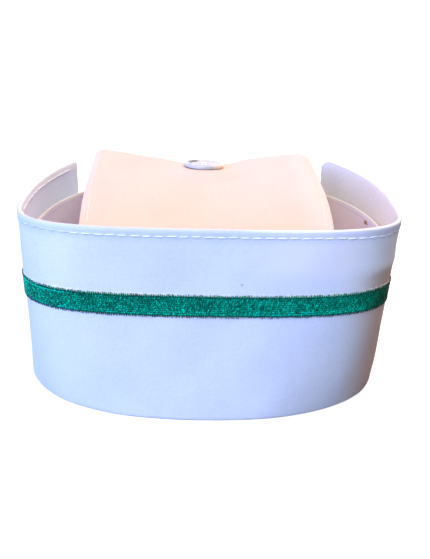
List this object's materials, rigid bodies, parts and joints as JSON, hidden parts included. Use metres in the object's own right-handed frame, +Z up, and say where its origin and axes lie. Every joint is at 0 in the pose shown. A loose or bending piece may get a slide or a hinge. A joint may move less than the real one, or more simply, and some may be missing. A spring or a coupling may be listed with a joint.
{
  "type": "nurse cap",
  "caption": "Stiff cloth nurse cap with a turned-up cuff open at the back, a green stripe, an inner head band and a crown panel folded down under a sewn button.",
  "frame": {"origin": "on the surface that the cap stands on, below the middle of the cap's box", "axes": "+Z up, -Y towards the front of the cuff, +X towards the end with the rounded corner"},
  "size_m": [0.1774, 0.1208, 0.1076],
  "materials": {
    "cuff_cloth": "starched cotton, fine plain weave, matt",
    "band_cloth": "starched cotton, fine plain weave, matt",
    "crown_cloth": "starched cotton, fine plain weave, matt",
    "stripe_embroidery": "green satin embroidery thread",
    "button_shell": "pearly white, glossy",
    "sewing_thread": "wound cotton thread"
  },
  "bodies": {
    "root": {"cuff": "cuff_cloth", "head_band": "band_cloth", "crown_panel": "crown_cloth", "stripe": "stripe_embroidery", "button": "button_shell", "button_thread": "sewing_thread"}
  },
  "joints": []
}
